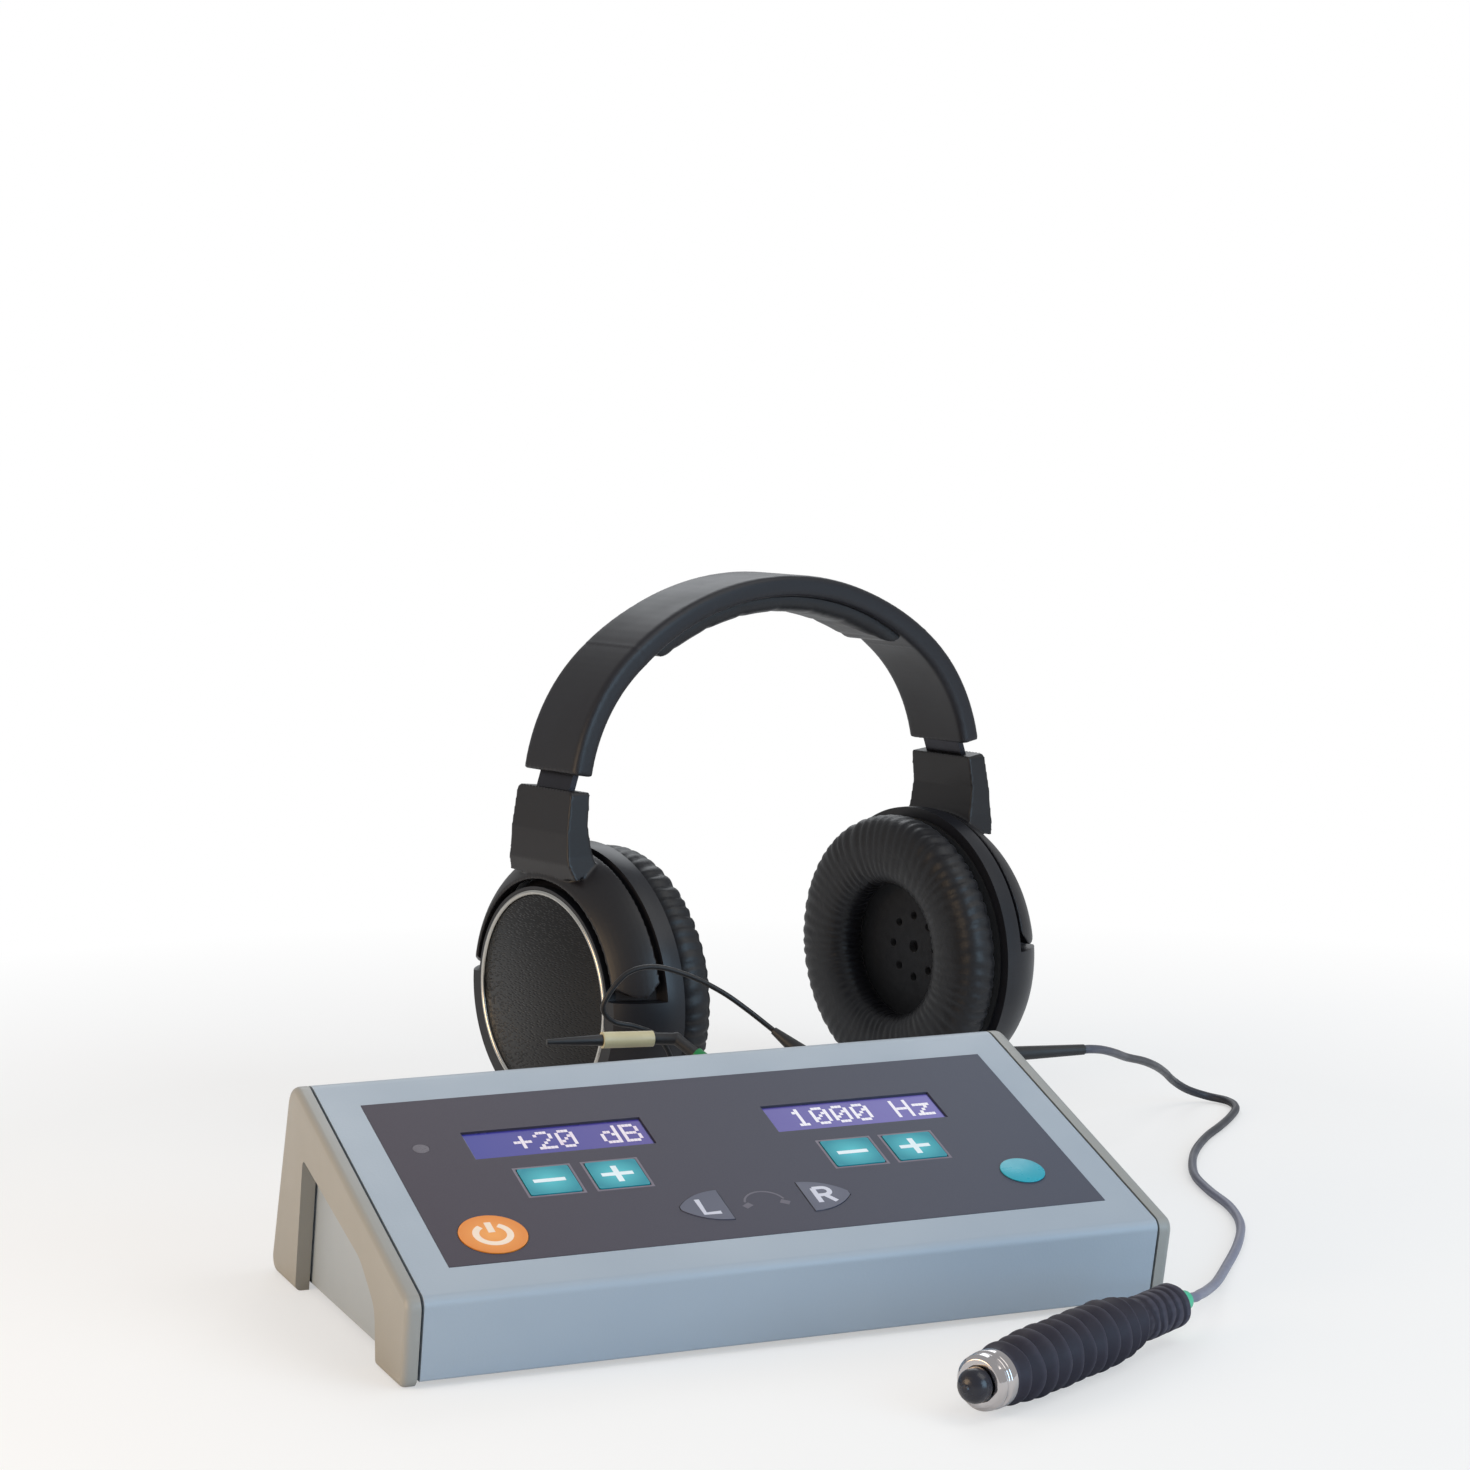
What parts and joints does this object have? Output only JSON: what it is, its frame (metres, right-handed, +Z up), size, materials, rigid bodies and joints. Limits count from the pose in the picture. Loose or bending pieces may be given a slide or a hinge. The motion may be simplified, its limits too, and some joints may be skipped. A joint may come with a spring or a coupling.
{
  "type": "audiometer",
  "caption": "Sloped desktop audiometer console with membrane keys and two displays, a corded push-button response handset and an over-ear headset standing behind it.",
  "frame": {"origin": "centre of the footprint box of console, handset and headset, at table height", "axes": "+Z up, -Y towards the user at the front of the console, +X to the user's right"},
  "size_m": [0.3952, 0.4572, 0.2012],
  "materials": {
    "shell_plastic": "fine spark texture, light blue-grey",
    "cheek_plastic": "smooth moulded, light grey",
    "dark_plastic": "moulded grey",
    "foot_rubber": "matt black",
    "screw_steel": "zinc plated",
    "foil": "satin printed polyester foil",
    "keypad_film": "printed film",
    "key_orange": "satin",
    "key_teal": "satin",
    "key_grey": "satin",
    "display_blue": "lit display",
    "board_green": "solder mask",
    "lamp_lens": "clear lens",
    "badge": "printed disc",
    "socket_black": "moulded black",
    "plug_rubber": "moulded black",
    "cord_grey": "grey sheath",
    "cord_black": "black sheath",
    "lead_green": "green",
    "sleeve_cream": "cream",
    "grip_rubber": "black rubber",
    "chrome": "polished",
    "switch_metal": "turned",
    "button_black": "gloss black",
    "collar_green": "green",
    "band_plastic": "satin black",
    "cushion_leather": "black leatherette",
    "slider_steel": "dark steel strip",
    "cup_plastic": "satin black",
    "disc_gloss": "gloss textured disc",
    "ring_silver": "bright",
    "driver_grey": "perforated"
  },
  "bodies": {
    "console": {"top_cover": "shell_plastic", "base_tray": "dark_plastic", "rear_panel": "dark_plastic", "left_cheek": "cheek_plastic", "right_cheek": "cheek_plastic", "rubber_feet": "foot_rubber", "case_screws": "screw_steel", "front_foil": "foil", "keypad_layer": "keypad_film", "switch_domes": "screw_steel", "display_glasses": "display_blue", "level_display": "board_green", "frequency_display": "board_green", "main_board": "board_green", "board_screws": "screw_steel", "status_lamp": "lamp_lens", "badge_disc": "badge", "rear_sockets": "socket_black", "power_inlet": "socket_black", "headset_plug": "plug_rubber", "response_plug": "plug_rubber", "spare_plug": "plug_rubber", "spare_collar": "lead_green", "spare_sleeve": "sleeve_cream", "spare_tip": "plug_rubber", "response_cord": "cord_grey", "headset_cord": "cord_black", "headset_cord_coil": "cord_black", "headset_cord_tail": "cord_black", "coil_tie": "plug_rubber"},
    "power_key": {"power_key": "key_orange"},
    "level_minus_key": {"level_minus_key": "key_teal"},
    "level_plus_key": {"level_plus_key": "key_teal"},
    "frequency_minus_key": {"frequency_minus_key": "key_teal"},
    "frequency_plus_key": {"frequency_plus_key": "key_teal"},
    "left_ear_key": {"left_ear_key": "key_grey"},
    "right_ear_key": {"right_ear_key": "key_grey"},
    "handset": {"handset_grip": "grip_rubber", "handset_switch": "switch_metal", "handset_ring_nut": "chrome", "handset_spring": "screw_steel", "handset_collar": "collar_green"},
    "handset_button": {"handset_button": "button_black"},
    "headband": {"headband": "band_plastic", "headband_pad": "cushion_leather"},
    "left_slider": {"left_slider": "slider_steel", "left_yoke": "cup_plastic"},
    "left_cup": {"left_cup": "cup_plastic", "left_face_disc": "disc_gloss", "left_trim_ring": "ring_silver", "left_driver": "driver_grey", "left_cushion": "cushion_leather"},
    "right_slider": {"right_slider": "slider_steel", "right_yoke": "cup_plastic"},
    "right_cup": {"right_cup": "cup_plastic", "right_face_disc": "disc_gloss", "right_trim_ring": "ring_silver", "right_driver": "driver_grey", "right_cushion": "cushion_leather"}
  },
  "joints": [
    {"name": "power_key_press", "type": "slide", "parent": "console", "child": "power_key", "axis": [0, 0.309, -0.9511], "range_m": [0, 0.0004], "stiffness_N_per_m": 3000, "springref_m": -0.0003},
    {"name": "level_minus_key_press", "type": "slide", "parent": "console", "child": "level_minus_key", "axis": [0, 0.309, -0.9511], "range_m": [0, 0.0004], "stiffness_N_per_m": 3000, "springref_m": -0.0003},
    {"name": "level_plus_key_press", "type": "slide", "parent": "console", "child": "level_plus_key", "axis": [0, 0.309, -0.9511], "range_m": [0, 0.0004], "stiffness_N_per_m": 3000, "springref_m": -0.0003},
    {"name": "frequency_minus_key_press", "type": "slide", "parent": "console", "child": "frequency_minus_key", "axis": [0, 0.309, -0.9511], "range_m": [0, 0.0004], "stiffness_N_per_m": 3000, "springref_m": -0.0003},
    {"name": "frequency_plus_key_press", "type": "slide", "parent": "console", "child": "frequency_plus_key", "axis": [0, 0.309, -0.9511], "range_m": [0, 0.0004], "stiffness_N_per_m": 3000, "springref_m": -0.0003},
    {"name": "left_ear_key_press", "type": "slide", "parent": "console", "child": "left_ear_key", "axis": [0, 0.309, -0.9511], "range_m": [0, 0.0004], "stiffness_N_per_m": 3000, "springref_m": -0.0003},
    {"name": "right_ear_key_press", "type": "slide", "parent": "console", "child": "right_ear_key", "axis": [0, 0.309, -0.9511], "range_m": [0, 0.0004], "stiffness_N_per_m": 3000, "springref_m": -0.0003},
    {"name": "handset_lift", "type": "slide", "parent": "console", "child": "handset", "axis": [0, 0, 1], "range_m": [0, 0.1]},
    {"name": "handset_button_press", "type": "slide", "parent": "handset", "child": "handset_button", "axis": [0.8704, 0.4924, 0], "range_m": [0, 0.002], "stiffness_N_per_m": 1200, "springref_m": -0.001, "deforming": ["handset_spring"]},
    {"name": "headset_lift", "type": "slide", "parent": "console", "child": "headband", "axis": [0, 0, 1], "range_m": [0, 0.15]},
    {"name": "left_slider_slide", "type": "slide", "parent": "headband", "child": "left_slider", "axis": [-0.313, -0.0897, -0.9455], "range_m": [-0.0035, 0.015], "deforming": ["headset_cord_tail"]},
    {"name": "right_slider_slide", "type": "slide", "parent": "headband", "child": "right_slider", "axis": [0.313, 0.0897, -0.9455], "range_m": [-0.0035, 0.015]},
    {"name": "left_cup_tilt", "type": "hinge", "parent": "left_slider", "child": "left_cup", "pos_m": [-0.02429, 0.12976, 0.064], "axis": [-0.2756, 0.9613, 0], "range_deg": [-1.5, 8], "deforming": ["headset_cord_tail"]},
    {"name": "right_cup_tilt", "type": "hinge", "parent": "right_slider", "child": "right_cup", "pos_m": [0.1449, 0.17827, 0.064], "axis": [0.2756, -0.9613, 0], "range_deg": [-1.5, 8]}
  ]
}
